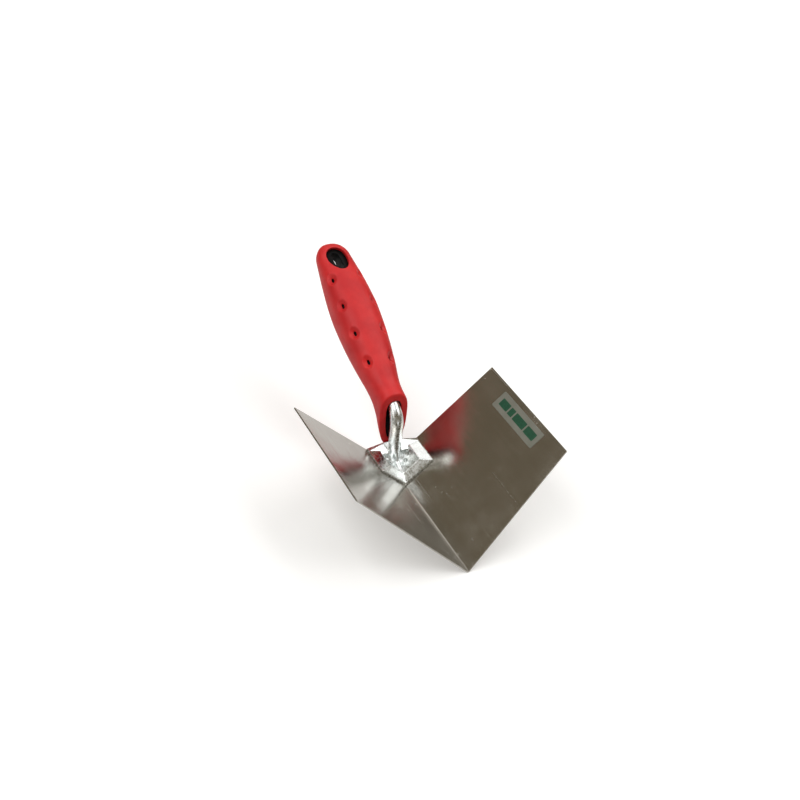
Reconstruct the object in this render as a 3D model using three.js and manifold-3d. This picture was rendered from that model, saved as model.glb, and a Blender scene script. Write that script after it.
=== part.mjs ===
// Inside corner trowel: a V-shaped steel blade, a cast saddle and stem riveted on its bend, and a
// soft-grip handle that rises behind it. Millimetres, +Z up, +X along the bend towards the front.
// The object is symmetric about the XZ plane, apart from the label on the right (+Y) wing.
import * as THREE from 'three';
import { mergeVertices } from 'three/addons/utils/BufferGeometryUtils.js';
import Module from 'manifold-3d';

const wasm = await Module();
wasm.setup();

// ---------------------------------------------------------------- driving dimensions
const CLEARANCE = 0.3; // between pieces that touch

const BLADE = {
  bendLength: 100, // back edge to front tip, along the bend
  wingWidth: 82, // bend to outer edge, along the wing
  outerEdge: 84.5, // length of a wing's outer edge
  halfAngle: THREE.MathUtils.degToRad(48.5), // wing to upright mid-plane
  sheet: 0.8,
  insideRadius: 1.0, // inside of the bend
};

const SADDLE = {
  back: 0.6, // x of the back edge
  front: 22.6, // x of the front edge
  reach: 22, // bend to outer edge, along the wing
  thick: 4.2, // at the raised border
  edgeThick: 0.5, // at the outer and front edges, where the border is bevelled
  bevelOuter: 16.6, // where the outer bevel starts, from the bend
  bevelFront: 18.4, // x where the front bevel starts
  pocketDepth: 1,
  pocketBack: 4, // x of the recessed panel
  pocketFront: 17.8,
  pocketInner: 4.6, // distance of the recessed panel from the bend
  pocketOuter: 16,
  wallTop: 17.6, // z of the back wall's top at the stem
  wallCrest: 1.2, // x where the wall's top starts to slope
  wallLedge: 12.9, // z where the slope ends
  wallFront: 6, // x of the wall's upright face
};

const RIVET = {
  shaft: 1.6, // radius
  head: 2.6, // radius of the countersunk head
  headDepth: 0.55,
  blindDepth: 1, // how far it reaches into the saddle
  stations: { back: 8, front: 15 }, // x
  reach: 13, // from the bend
};

const STEM = {
  x: 4.4, // of its upright part
  lowRadius: 3.9,
  tangRadius: 3.0,
  thinsFrom: 34, // z
  thinsTo: 50,
  bendTangent: 8, // length of the bend's tangents
  tangOffset: 3, // tang above the handle's own axis
  tangEnd: 62, // along the handle
};

const HANDLE = {
  foot: new THREE.Vector3(-9.7, 0, 41.6), // on its axis, at the neck
  tilt: THREE.MathUtils.degToRad(27), // axis above the bend's direction
  tailEnd: 105.6, // from the foot to the tail's end
  squareness: 2.5, // superellipse exponent of its sections
  skin: 2.4, // soft grip over the hard core
  lipRound: 0.9, // radius round the mouth's rim
  coreRecess: 1.0, // core behind the mouth's face
};

// The foot that spreads from the stem onto the saddle, and the low web in front of it.
const FOOT = {
  spread: 5.5, // beyond the stem, at the bend
  top: 17, // z where it has run out into the stem
  webWidth: 3.2,
  webFrontTop: 7, // z of the web's top at its front end
  webBackTop: 12, // z of the web's top at the stem
};

// The slot in the mouth that the stem comes out of.
const SLOT = {
  ahead: 2, // starts in front of the mouth's face
  deep: 12,
  sideWall: 3.8,
  topWall: 4.0,
  bottomWall: 2.6,
  narrowing: 0.2, // share lost inwards
  guardNarrowing: 0.75, // the same, on the finger guard's side
};

// The hanging hole through the tail.
const HOLE = {
  centre: 91.2, // along the handle
  grip: { halfLength: 9, halfWidth: 6.3, squareness: 2, egg: 0.12 }, // wider towards the tail
  core: { halfLength: 6, halfWidth: 2.2, squareness: 4, egg: 0 },
};

// The thumb and finger dimples, in one row on each side.
const DIMPLE = {
  first: 19.5, // along the handle
  pitch: 19.2,
  across: [39, 41, 44, 46], // degrees round from the top, neck to tail
  halfLength: 5,
  halfWidth: 3.4,
  depth: 1.7,
};

const SLIT = { halfLength: 1.9, halfWidth: 0.9, reach: 2.8 }; // through the skin in each dimple
const LABEL = { back: 21.7, front: 65.6, inner: 67.9, outer: 78.7, thick: 0.25 }; // on the right wing

// ---------------------------------------------------------------- geometry helpers
const { sin, cos, tan, PI } = Math;
const SIN = sin(BLADE.halfAngle);
const COS = cos(BLADE.halfAngle);
const AXIS_X = new THREE.Vector3(1, 0, 0);
const AXIS_Y = new THREE.Vector3(0, 1, 0);
const AXIS_Z = new THREE.Vector3(0, 0, 1);

// A closed geometry as a solid that can be joined and cut.
function solid(geometry) {
  const bare = geometry.clone();
  bare.deleteAttribute('normal');
  bare.deleteAttribute('uv');
  const merged = mergeVertices(bare, 1e-4);
  const corners = merged.index.array;
  const triangles = [];
  for (let i = 0; i < corners.length; i += 3) {
    const [a, b, c] = [corners[i], corners[i + 1], corners[i + 2]];
    if (a !== b && b !== c && c !== a) triangles.push(a, b, c);
  }
  return new wasm.Manifold(new wasm.Mesh({
    numProp: 3,
    vertProperties: new Float32Array(merged.attributes.position.array),
    triVerts: new Uint32Array(triangles),
  }));
}

function geometryOf(body) {
  const mesh = body.getMesh();
  const geometry = new THREE.BufferGeometry();
  geometry.setAttribute('position', new THREE.BufferAttribute(mesh.vertProperties, mesh.numProp));
  geometry.setIndex(new THREE.BufferAttribute(mesh.triVerts, 1));
  geometry.computeVertexNormals();
  return geometry;
}

// The same geometry on the other side of the mid-plane.
function mirrored(geometry) {
  const copy = geometry.clone();
  copy.scale(1, -1, 1);
  if (!copy.index) copy.setIndex([...Array(copy.attributes.position.count).keys()]);
  const corners = copy.index.array;
  for (let i = 0; i < corners.length; i += 3) {
    [corners[i], corners[i + 1]] = [corners[i + 1], corners[i]];
  }
  return copy;
}

const bothSides = (geometry) => solid(geometry).add(solid(mirrored(geometry)));
const joined = (bodies) => bodies.reduce((sum, body) => sum.add(body));
const cutBy = (body, tools) => tools.reduce((rest, tool) => rest.subtract(tool), body);

// Extrudes a shape drawn in (y, z) along X.
function extrudeAlongX(shape, from, to) {
  const options = { depth: to - from, bevelEnabled: false, curveSegments: 6 };
  const geometry = new THREE.ExtrudeGeometry(shape, options);
  geometry.applyMatrix4(new THREE.Matrix4().makeBasis(AXIS_Y, AXIS_Z, AXIS_X));
  return geometry.translate(from, 0, 0);
}

// A closed body through rings of points: place(ring, angle) for ring = 0 ... rings, where the first
// and last ring each shrink to one point.
function loft(rings, sides, place) {
  const profile = [];
  for (let ring = 0; ring <= rings; ring += 1) {
    profile.push(new THREE.Vector2(ring === 0 || ring === rings ? 0 : 1, ring));
  }
  const geometry = new THREE.LatheGeometry(profile, sides);
  const position = geometry.attributes.position;
  for (let i = 0; i < position.count; i += 1) {
    const side = Math.floor(i / profile.length) % sides;
    const point = place(i % profile.length, (2 * PI * side) / sides);
    position.setXYZ(i, point.x, point.y, point.z);
  }
  return geometry;
}

// Places local (along the bend, along the right wing, above the wing's middle surface).
const ON_WING = new THREE.Matrix4().makeBasis(
  AXIS_X,
  new THREE.Vector3(0, SIN, COS),
  new THREE.Vector3(0, -COS, SIN),
);

// A V-shaped layer lying on the blade: low and high are its faces' distances from the sheet's middle
// surface, reach is its width along the wing, and edge is its upper face at the outer edge.
function veeShape(low, high, reach, edge = high, bevelAt = reach) {
  const at = (along, above) => [along * SIN - above * COS, along * COS + above * SIN];
  const centre = (BLADE.insideRadius + BLADE.sheet / 2) / SIN;
  const lowRadius = BLADE.insideRadius + BLADE.sheet / 2 - low;
  const highRadius = Math.max(BLADE.insideRadius + BLADE.sheet / 2 - high, 0);
  const shape = new THREE.Shape();
  shape.moveTo(...at(reach, edge));
  shape.lineTo(...at(reach, low));
  shape.absarc(0, centre, lowRadius, -BLADE.halfAngle, BLADE.halfAngle - PI, true);
  const left = ([y, z]) => [-y, z];
  shape.lineTo(...left(at(reach, low)));
  shape.lineTo(...left(at(reach, edge)));
  if (bevelAt < reach) shape.lineTo(...left(at(bevelAt, high)));
  if (highRadius > 0) {
    shape.absarc(0, centre, highRadius, BLADE.halfAngle - PI, -BLADE.halfAngle, false);
  } else {
    shape.lineTo(0, high / SIN);
  }
  if (bevelAt < reach) shape.lineTo(...at(bevelAt, high));
  return shape;
}

// ---------------------------------------------------------------- rivets
const RIVET_TOP = BLADE.sheet / 2 + CLEARANCE + RIVET.blindDepth;

function rivetGeometry(grow = 0) {
  const foot = -BLADE.sheet / 2 + 0.05 - 2 * grow;
  const neck = foot + RIVET.headDepth + 2 * grow;
  const top = RIVET_TOP + grow;
  const profile = [
    [0, foot],
    [RIVET.head + grow, foot],
    [RIVET.head + grow, foot + 2 * grow + 0.05],
    [RIVET.shaft + grow, neck],
    [RIVET.shaft + grow, top],
    [0, top],
  ].map(([radius, height]) => new THREE.Vector2(radius, height));
  const geometry = new THREE.LatheGeometry(profile, 16);
  return geometry.rotateX(PI / 2);
}

function rivetAt(x, grow = 0) {
  return rivetGeometry(grow).translate(x, RIVET.reach, 0).applyMatrix4(ON_WING);
}

const rivetHoles = Object.values(RIVET.stations).map((x) => bothSides(rivetAt(x, CLEARANCE)));

// ---------------------------------------------------------------- blade
function makeBlade() {
  const half = BLADE.sheet / 2;
  const sheet = solid(extrudeAlongX(veeShape(-half, half, BLADE.wingWidth), 0, BLADE.bendLength));
  const span = BLADE.wingWidth * SIN;
  const beyond = 1.1; // the outline passes the wings by a tenth
  const corner = BLADE.bendLength - (BLADE.bendLength - BLADE.outerEdge) * beyond;
  const plan = new THREE.Shape();
  plan.moveTo(-1, -span * beyond);
  plan.lineTo(corner, -span * beyond);
  plan.lineTo(BLADE.bendLength, 0);
  plan.lineTo(corner, span * beyond);
  plan.lineTo(-1, span * beyond);
  const height = BLADE.wingWidth;
  const outline = new THREE.ExtrudeGeometry(plan, { depth: 2 * height, bevelEnabled: false });
  outline.translate(0, 0, -height / 2);
  return geometryOf(cutBy(sheet.intersect(solid(outline)), rivetHoles));
}

// ---------------------------------------------------------------- handle form
// A superellipse's coordinate from the circle's.
const bulge = (value, squareness = HANDLE.squareness) => (
  Math.sign(value) * Math.abs(value) ** (2 / squareness)
);

// A point of the handle from its place along the axis, to the side, and above the axis.
function handlePoint(along, side, above) {
  return new THREE.Vector3(
    HANDLE.foot.x - along * cos(HANDLE.tilt) + above * sin(HANDLE.tilt),
    side,
    HANDLE.foot.z + along * sin(HANDLE.tilt) + above * cos(HANDLE.tilt),
  );
}

// Half-sizes of the handle's sections: place along the axis, half-width, height above the axis and
// depth below it. The first station is the mouth; the depth there is the finger guard.
const STATIONS = [
  [-10.9, 8.7, 11.2, 21.4],
  [-7, 8.7, 10.6, 18.2],
  [-3, 8.5, 10.1, 13.6],
  [3, 8.7, 9.7, 10.4],
  [10, 9.6, 9.8, 9.9],
  [18, 10.9, 10.5, 10.6],
  [34, 12.8, 12.0, 11.9],
  [52, 13.8, 12.7, 12.6],
  [66, 13.4, 12.2, 12.1],
  [80, 12.2, 10.3, 10.3],
  [93, 10.8, 7.4, 7.6],
  [HANDLE.tailEnd, 9.4, 5.4, 5.6],
];

function stationCurve(column) {
  return new THREE.SplineCurve(STATIONS.map((row) => new THREE.Vector2(row[0], row[column])));
}

const CURVES = { width: stationCurve(1), top: stationCurve(2), bottom: stationCurve(3) };

// Reads a curve of (place, size) points at a place along the axis.
function sizeAt(curve, along) {
  let low = 0;
  let high = 1;
  for (let i = 0; i < 30; i += 1) {
    const middle = (low + high) / 2;
    if (curve.getPoint(middle).x < along) low = middle;
    else high = middle;
  }
  return curve.getPoint(low).y;
}

const MOUTH = STATIONS[0][0];
const FAN_END = 16; // sections lean forward between the mouth and here, and stand square beyond

// A handle section's point. inset moves it in from the grip's outer surface.
function sectionPoint(along, angle, inset, shrink = 1) {
  const width = sizeAt(CURVES.width, along) - inset;
  const height = sizeAt(sin(angle) > 0 ? CURVES.top : CURVES.bottom, along) - inset;
  const side = shrink * width * bulge(cos(angle));
  const above = shrink * height * bulge(sin(angle));
  const fan = THREE.MathUtils.clamp((FAN_END - along) / (FAN_END - MOUTH), 0, 1);
  return handlePoint(along + above * tan(HANDLE.tilt) * fan * fan * (3 - 2 * fan), side, above);
}

// The handle's closed form between two places along its axis. Both ends are rounded: the front over
// frontRound, the tail over tailRound.
function handleForm({ inset, from, to, frontRound, tailRound, sides, rings }) {
  const places = [[from, 0]];
  const roundSteps = 3;
  for (let i = 0; i <= roundSteps; i += 1) {
    const turn = (PI / 2) * (i / roundSteps);
    const width = sizeAt(CURVES.width, from) - inset;
    places.push([from + frontRound * (1 - cos(turn)), 1 - (frontRound / width) * (1 - sin(turn))]);
  }
  const start = from + frontRound;
  const end = to - tailRound;
  for (let i = 1; i < rings; i += 1) places.push([start + ((end - start) * i) / rings, 1]);
  const tailSteps = 7;
  for (let i = 0; i <= tailSteps; i += 1) {
    const turn = (PI / 2) * (i / tailSteps);
    places.push([end + tailRound * sin(turn), cos(turn) ** 0.8]);
  }
  return loft(places.length - 1, sides, (ring, angle) => {
    const [along, shrink] = places[ring];
    const centred = ring === 0 || ring === places.length - 1;
    return sectionPoint(along, -angle, inset, centred ? 0 : shrink);
  });
}

const coreForm = (inset) => solid(handleForm({
  inset,
  from: MOUTH + HANDLE.coreRecess + inset - HANDLE.skin,
  to: HANDLE.tailEnd - inset,
  frontRound: 0.8,
  tailRound: 9 - inset / 2,
  sides: 20,
  rings: 10,
}));

// The slot follows the handle's axis inwards, and narrows most of all towards the finger guard.
function mouthSlot() {
  const [, width, top, bottom] = STATIONS[0];
  const rings = 6;
  return solid(loft(rings, 20, (ring, turn) => {
    const inwards = THREE.MathUtils.clamp((ring - 1) / (rings - 2), 0, 1);
    const open = ring === 0 || ring === rings ? 0 : 1;
    const upper = sin(-turn) > 0;
    const height = upper ? top - SLOT.topWall : bottom - SLOT.bottomWall;
    const heightLoss = upper ? SLOT.narrowing : SLOT.guardNarrowing;
    const side = open * (width - SLOT.sideWall) * (1 - SLOT.narrowing * inwards) * bulge(cos(turn));
    const above = open * height * (1 - heightLoss * inwards) * bulge(sin(-turn));
    const lean = above * tan(HANDLE.tilt) * (1 - inwards);
    return handlePoint(MOUTH + lean - SLOT.ahead + (SLOT.deep + SLOT.ahead) * inwards, side, above);
  }));
}

// The hanging hole's outline: an egg-shaped oval in the grip, a narrower slot in the core.
function hangingHole({ halfLength, halfWidth, squareness, egg }) {
  const points = [];
  const count = 20;
  for (let i = 0; i < count; i += 1) {
    const angle = (2 * PI * i) / count;
    const widen = 1 + egg * cos(angle);
    points.push(new THREE.Vector2(
      HOLE.centre + halfLength * bulge(cos(angle), squareness),
      halfWidth * widen * bulge(sin(angle), squareness),
    ));
  }
  const through = 40; // more than the handle's whole depth
  const options = { depth: through, bevelEnabled: false };
  const geometry = new THREE.ExtrudeGeometry(new THREE.Shape(points), options);
  geometry.translate(0, 0, -through / 2);
  const position = geometry.attributes.position;
  for (let i = 0; i < position.count; i += 1) {
    const point = handlePoint(position.getX(i), -position.getY(i), position.getZ(i));
    position.setXYZ(i, point.x, point.y, point.z);
  }
  return solid(geometry);
}

// The axes of a dimple: along the handle, round it, and out of it.
function dimplePlace(along, angle) {
  const ahead = sectionPoint(along - 1, angle, 0).sub(sectionPoint(along + 1, angle, 0)).normalize();
  const around = sectionPoint(along, angle - 0.05, 0).sub(sectionPoint(along, angle + 0.05, 0));
  around.normalize();
  const out = new THREE.Vector3().crossVectors(ahead, around).normalize();
  if (out.z < 0) out.negate();
  const place = new THREE.Matrix4();
  place.makeBasis(new THREE.Vector3().crossVectors(around, out), around, out);
  return place.setPosition(sectionPoint(along, angle, 0));
}

// A dish in the grip, with a slit through to the core, at each dimple.
function dimples() {
  const tools = [];
  DIMPLE.across.forEach((across, i) => {
    const angle = PI / 2 - THREE.MathUtils.degToRad(across);
    const place = dimplePlace(DIMPLE.first + DIMPLE.pitch * i, angle);
    const dish = new THREE.SphereGeometry(1, 14, 8);
    dish.scale(DIMPLE.halfLength, DIMPLE.halfWidth, DIMPLE.depth);
    const slit = new THREE.SphereGeometry(1, 8, 6);
    slit.scale(SLIT.halfLength, SLIT.halfWidth, SLIT.reach);
    for (const tool of [dish, slit]) {
      tool.applyMatrix4(place);
      tools.push(solid(tool), solid(mirrored(tool)));
    }
  });
  return tools;
}

// ---------------------------------------------------------------- stem and tang
function stemPath() {
  const onTang = (along) => handlePoint(along, 0, STEM.tangOffset);
  const start = onTang(0);
  const direction = onTang(1).sub(start);
  const corner = start.clone().addScaledVector(direction, (STEM.x - start.x) / direction.x);
  const bendStart = corner.clone().addScaledVector(AXIS_Z, -STEM.bendTangent);
  const bendEnd = corner.clone().addScaledVector(direction, STEM.bendTangent);
  const path = new THREE.CurvePath();
  path.add(new THREE.LineCurve3(new THREE.Vector3(STEM.x, 0, 2.5), bendStart));
  path.add(new THREE.QuadraticBezierCurve3(bendStart, corner, bendEnd));
  path.add(new THREE.LineCurve3(bendEnd, onTang(STEM.tangEnd)));
  return path;
}

function sweep(path, radiusAt, rings, sides) {
  return loft(rings + 2, sides, (ring, angle) => {
    const t = THREE.MathUtils.clamp((ring - 1) / rings, 0, 1);
    const centre = path.getPointAt(t);
    if (ring === 0 || ring === rings + 2) return centre;
    const forward = path.getTangentAt(t);
    const across = new THREE.Vector3().crossVectors(AXIS_Y, forward);
    const radius = radiusAt(centre);
    centre.addScaledVector(AXIS_Y, radius * cos(angle));
    return centre.addScaledVector(across, -radius * sin(angle));
  });
}

// The stem thins from lowRadius to tangRadius between two heights.
function stemSolid(grow = 0) {
  const radiusAt = (centre) => {
    const thinned = THREE.MathUtils.smoothstep(centre.z, STEM.thinsFrom, STEM.thinsTo);
    return grow + THREE.MathUtils.lerp(STEM.lowRadius, STEM.tangRadius, thinned);
  };
  return solid(sweep(stemPath(), radiusAt, 30, 16));
}

// ---------------------------------------------------------------- shank casting
const SADDLE_LOW = BLADE.sheet / 2 + CLEARANCE; // above the sheet's middle surface
const SADDLE_HIGH = SADDLE_LOW + SADDLE.thick;
const SADDLE_EDGE = SADDLE_LOW + SADDLE.edgeThick;

// Everything above the front bevel of the right flange.
function frontBevelCutter() {
  const slope = (SADDLE.thick - SADDLE.edgeThick) / (SADDLE.front - SADDLE.bevelFront);
  const beyond = 2;
  const wedge = new THREE.Shape();
  wedge.moveTo(SADDLE.bevelFront - beyond, SADDLE_HIGH + slope * beyond);
  wedge.lineTo(SADDLE.front + beyond, SADDLE_EDGE - slope * beyond);
  wedge.lineTo(SADDLE.front + beyond, SADDLE_HIGH + slope * beyond);
  const geometry = new THREE.ExtrudeGeometry(wedge, { depth: 2 * SADDLE.reach, bevelEnabled: false });
  return geometry.rotateX(PI / 2).translate(0, 1.5 * SADDLE.reach, 0).applyMatrix4(ON_WING);
}

// The vee on the blade, with bevelled outer and front borders and a recessed panel on each side.
function saddleSolid() {
  const vee = veeShape(SADDLE_LOW, SADDLE_HIGH, SADDLE.reach, SADDLE_EDGE, SADDLE.bevelOuter);
  const { pocketBack, pocketFront, pocketInner, pocketOuter, pocketDepth } = SADDLE;
  const panel = new THREE.Shape();
  panel.moveTo(pocketBack, pocketInner);
  panel.lineTo(pocketFront, pocketInner);
  panel.lineTo(pocketFront, pocketOuter);
  panel.lineTo(pocketBack, pocketOuter);
  const pocket = new THREE.ExtrudeGeometry(panel, { depth: 4, bevelEnabled: false });
  pocket.translate(0, 0, SADDLE_HIGH - pocketDepth).applyMatrix4(ON_WING);
  const plate = solid(extrudeAlongX(vee, SADDLE.back, SADDLE.front));
  return plate.subtract(bothSides(pocket)).subtract(bothSides(frontBevelCutter()));
}

// The wall across the back, which closes the vee behind the two recessed panels. Its top slopes
// down to an upright face.
function backWallSolid() {
  const corner = new THREE.Vector3(0, SADDLE.reach, SADDLE_EDGE).applyMatrix4(ON_WING);
  const wall = new THREE.Shape();
  wall.moveTo(-corner.y, corner.z);
  wall.lineTo(0, 0);
  wall.lineTo(corner.y, corner.z);
  wall.lineTo(STEM.lowRadius, SADDLE.wallTop);
  wall.lineTo(-STEM.lowRadius, SADDLE.wallTop);
  const { back, wallTop, wallCrest, wallLedge, wallFront, reach } = SADDLE;
  const side = new THREE.Shape();
  side.moveTo(back, -1);
  side.lineTo(wallFront, -1);
  side.lineTo(wallFront, wallLedge);
  side.lineTo(wallCrest, wallTop);
  side.lineTo(back, wallTop);
  const profile = new THREE.ExtrudeGeometry(side, { depth: 2 * reach, bevelEnabled: false });
  profile.rotateX(PI / 2).translate(0, reach, 0);
  return solid(extrudeAlongX(wall, back, wallFront)).intersect(solid(profile));
}

// The stem's foot, a bell.
function bellSolid() {
  const profile = [new THREE.Vector2(0, 0)];
  const steps = 6;
  for (let i = 0; i <= steps; i += 1) {
    const t = i / steps;
    const radius = STEM.lowRadius - 0.2 + FOOT.spread * (1 - t) ** 2.5;
    profile.push(new THREE.Vector2(radius, FOOT.top * t));
  }
  profile.push(new THREE.Vector2(0, FOOT.top));
  const bell = new THREE.LatheGeometry(profile, 24);
  return solid(bell.rotateX(PI / 2).translate(STEM.x + 0.6, 0, 0));
}

function frontWebSolid() {
  const web = new THREE.Shape();
  web.moveTo(STEM.x, 0);
  web.lineTo(SADDLE.pocketFront, 0);
  web.lineTo(SADDLE.pocketFront, FOOT.webFrontTop);
  web.quadraticCurveTo(STEM.x + 6, FOOT.webFrontTop + 1, STEM.x + 3.5, FOOT.webBackTop);
  web.lineTo(STEM.x, FOOT.webBackTop);
  const options = { depth: FOOT.webWidth, bevelEnabled: false, curveSegments: 6 };
  const geometry = new THREE.ExtrudeGeometry(web, options);
  return solid(geometry.translate(0, 0, -FOOT.webWidth / 2).rotateX(PI / 2));
}

// The foot ends at the saddle's front and back edges, and nothing reaches down to the blade.
function makeShank() {
  const tall = 60;
  const length = SADDLE.front - SADDLE.back;
  const room = new THREE.BoxGeometry(length, tall, tall).translate(SADDLE.back + length / 2, 0, 0);
  const below = extrudeAlongX(veeShape(-12, SADDLE_LOW, 40), -20, tall);
  const base = joined([saddleSolid(), backWallSolid(), bellSolid(), frontWebSolid()]);
  const casting = base.intersect(solid(room)).add(stemSolid());
  return geometryOf(cutBy(casting, [solid(below), ...rivetHoles]));
}

// ---------------------------------------------------------------- handle pieces
function makeCore() {
  const core = coreForm(HANDLE.skin + CLEARANCE);
  return geometryOf(cutBy(core, [mouthSlot(), stemSolid(CLEARANCE), hangingHole(HOLE.core)]));
}

function makeGrip() {
  const skin = solid(handleForm({
    inset: 0,
    from: MOUTH,
    to: HANDLE.tailEnd,
    frontRound: HANDLE.lipRound,
    tailRound: 10,
    sides: 28,
    rings: 16,
  }));
  return geometryOf(cutBy(skin, [coreForm(HANDLE.skin), mouthSlot(), hangingHole(HOLE.grip), ...dimples()]));
}

// ---------------------------------------------------------------- label
function makeLabel() {
  const { back, front, inner, outer, thick } = LABEL;
  const geometry = new THREE.BoxGeometry(front - back, outer - inner, thick);
  const above = BLADE.sheet / 2 + CLEARANCE + thick / 2;
  return geometry.translate((back + front) / 2, (inner + outer) / 2, above).applyMatrix4(ON_WING);
}

// ---------------------------------------------------------------- assembly
const steel = (color, roughness) => new THREE.MeshStandardMaterial({ color, roughness, metalness: 1 });
const plastic = (color, roughness) => new THREE.MeshStandardMaterial({ color, roughness, metalness: 0 });

const trowel = new THREE.Group();

function piece(name, geometry, material) {
  const mesh = new THREE.Mesh(geometry, material);
  mesh.name = name;
  trowel.add(mesh);
}

piece('blade', makeBlade(), steel(0x8f8b84, 0.18));
piece('shank', makeShank(), steel(0xc9cbcc, 0.3));
for (const [station, x] of Object.entries(RIVET.stations)) {
  piece(`rivet_right_${station}`, rivetAt(x), steel(0xb9b9b6, 0.35));
  piece(`rivet_left_${station}`, mirrored(rivetAt(x)), steel(0xb9b9b6, 0.35));
}
piece('handle_core', makeCore(), plastic(0x151515, 0.5));
piece('grip', makeGrip(), plastic(0xcf2f34, 0.45));
piece('label', makeLabel(), plastic(0x9c9a93, 0.5));

// The origin is at the middle of the whole trowel's footprint, on the surface that it stands on.
const box = new THREE.Box3().setFromObject(trowel);
const centre = box.getCenter(new THREE.Vector3());
for (const mesh of trowel.children) mesh.position.set(-centre.x, -centre.y, -box.min.z);

export default trowel;
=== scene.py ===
"""Looks of the inside corner trowel: blade, casting, rivets, handle core, soft grip and label.

Shapes are worked out in millimetres in the trowel's own axes (x along the bend from its back end,
y to the right wing, z up), and placed in the frame's metres from the blade's box.
"""

import math

import bmesh
import bpy
import numpy as np
from mathutils import Matrix, Vector, noise


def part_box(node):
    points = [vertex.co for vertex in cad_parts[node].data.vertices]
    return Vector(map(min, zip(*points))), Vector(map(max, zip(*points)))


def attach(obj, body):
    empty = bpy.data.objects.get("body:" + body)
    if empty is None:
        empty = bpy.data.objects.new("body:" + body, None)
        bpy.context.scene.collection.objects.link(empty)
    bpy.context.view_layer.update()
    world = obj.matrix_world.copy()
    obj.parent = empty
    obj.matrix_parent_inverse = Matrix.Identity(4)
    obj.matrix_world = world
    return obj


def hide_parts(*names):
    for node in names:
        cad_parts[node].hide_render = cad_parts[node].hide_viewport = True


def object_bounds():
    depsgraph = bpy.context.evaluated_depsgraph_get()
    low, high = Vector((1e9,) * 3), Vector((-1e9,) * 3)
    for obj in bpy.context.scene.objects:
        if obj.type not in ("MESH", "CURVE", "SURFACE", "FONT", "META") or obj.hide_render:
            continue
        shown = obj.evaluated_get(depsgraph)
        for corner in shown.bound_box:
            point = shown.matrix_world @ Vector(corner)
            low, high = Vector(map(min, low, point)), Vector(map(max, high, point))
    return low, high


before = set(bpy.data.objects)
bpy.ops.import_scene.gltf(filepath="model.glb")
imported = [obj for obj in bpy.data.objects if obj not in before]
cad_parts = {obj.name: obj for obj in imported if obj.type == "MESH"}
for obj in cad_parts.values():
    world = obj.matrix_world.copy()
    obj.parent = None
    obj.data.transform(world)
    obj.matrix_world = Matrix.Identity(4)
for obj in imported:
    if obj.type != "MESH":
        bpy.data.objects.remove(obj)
CAD_LOW, CAD_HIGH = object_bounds()

MM = 0.001

# ---------------------------------------------------------------- driving dimensions, millimetres
CLEARANCE = 0.3
REST_GAP = 0.05  # between the sheet and what lies on it
HALF_ANGLE = math.radians(48.5)
BEND_LENGTH, WING_WIDTH, OUTER_EDGE = 100.0, 82.0, 84.5
SHEET, INSIDE_RADIUS = 0.8, 1.0
SADDLE_BACK, SADDLE_FRONT, SADDLE_REACH = 0.6, 22.6, 22.0
SADDLE_THICK, SADDLE_EDGE_THICK, BEVEL_OUTER, BEVEL_FRONT = 4.2, 0.5, 16.6, 18.4
POCKET_BACK, POCKET_FRONT, POCKET_INNER, POCKET_OUTER, POCKET_DEPTH = 4.0, 17.8, 4.6, 16.0, 1.0
WALL_TOP, WALL_CREST, WALL_LEDGE, WALL_FRONT = 17.6, 1.2, 12.9, 6.0
RIVET_SHAFT, RIVET_HEAD, RIVET_HEAD_DEPTH, RIVET_REACH = 1.6, 2.6, 0.55, 13.0
RIVET_STATIONS = {"back": 8.0, "front": 15.0}
STEM_X, STEM_LOW_RADIUS, TANG_RADIUS, TANG_END, TANG_OFFSET = 4.4, 3.9, 3.0, 62.0, 3.0
STEM_THINS_FROM, STEM_THINS_TO = 34.0, 50.0
FOOT_CENTRE, FOOT_TOP = STEM_X + 0.4, 17
RIB_DIRECTIONS, RIB_REACH, BELL_SPREAD = (0, 80, 180, 280), 6.5, 3.0  # degrees, then millimetres
HOLLOWS = ((70, 6.9, 11.4), (33, 7.2, 9.1))  # direction in degrees, reach and height
HOLLOW_RADIUS, HOLLOW_HALF_DEPTH = 1.6, 2.6
FOOT_X, FOOT_Z, TILT = -9.7, 41.6, math.radians(27)
SKIN, LIP_ROUND, CORE_RECESS, TAIL_END, SQUARENESS = 2.4, 0.9, 1.0, 105.6, 2.5
SLOT_WALL, SLOT_TOP_WALL, SLOT_BOTTOM_WALL = 3.8, 4.0, 2.6  # the grip's walls round the mouth
SLOT_START, SLOT_DEPTH, CORE_SLOT_SHARE = -2, 14, 0.88
HOLE_CENTRE = 91.2
# Half-length, half-width, squareness and egg shape of the hanging hole.
GRIP_HOLE, CORE_HOLE = (9.0, 6.3, 2.0, 0.12), (6.0, 2.2, 4.0, 0.0)
DIMPLE_FIRST, DIMPLE_PITCH, DIMPLE_ACROSS = 19.5, 19.2, (39, 41, 44, 46)
DIMPLE_LENGTH, DIMPLE_WIDTH, DIMPLE_DEPTH = 4.1, 3.2, 1.9  # half-length and half-width
SLIT_LENGTH, SLIT_WIDTH = 1.7, 0.75  # half-length and half-width
LABEL_BACK, LABEL_FRONT, LABEL_INNER, LABEL_OUTER, LABEL_THICK = 21.7, 65.6, 67.9, 78.7, 0.25
BARS = ((25.0, 33.4), (34.6, 39.0), (40.2, 51.6), (52.8, 62.4))  # back and front end of each
BAR_INNER, BAR_OUTER, PRINT_DEPTH = 70.9, 75.6, 0.012

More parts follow.
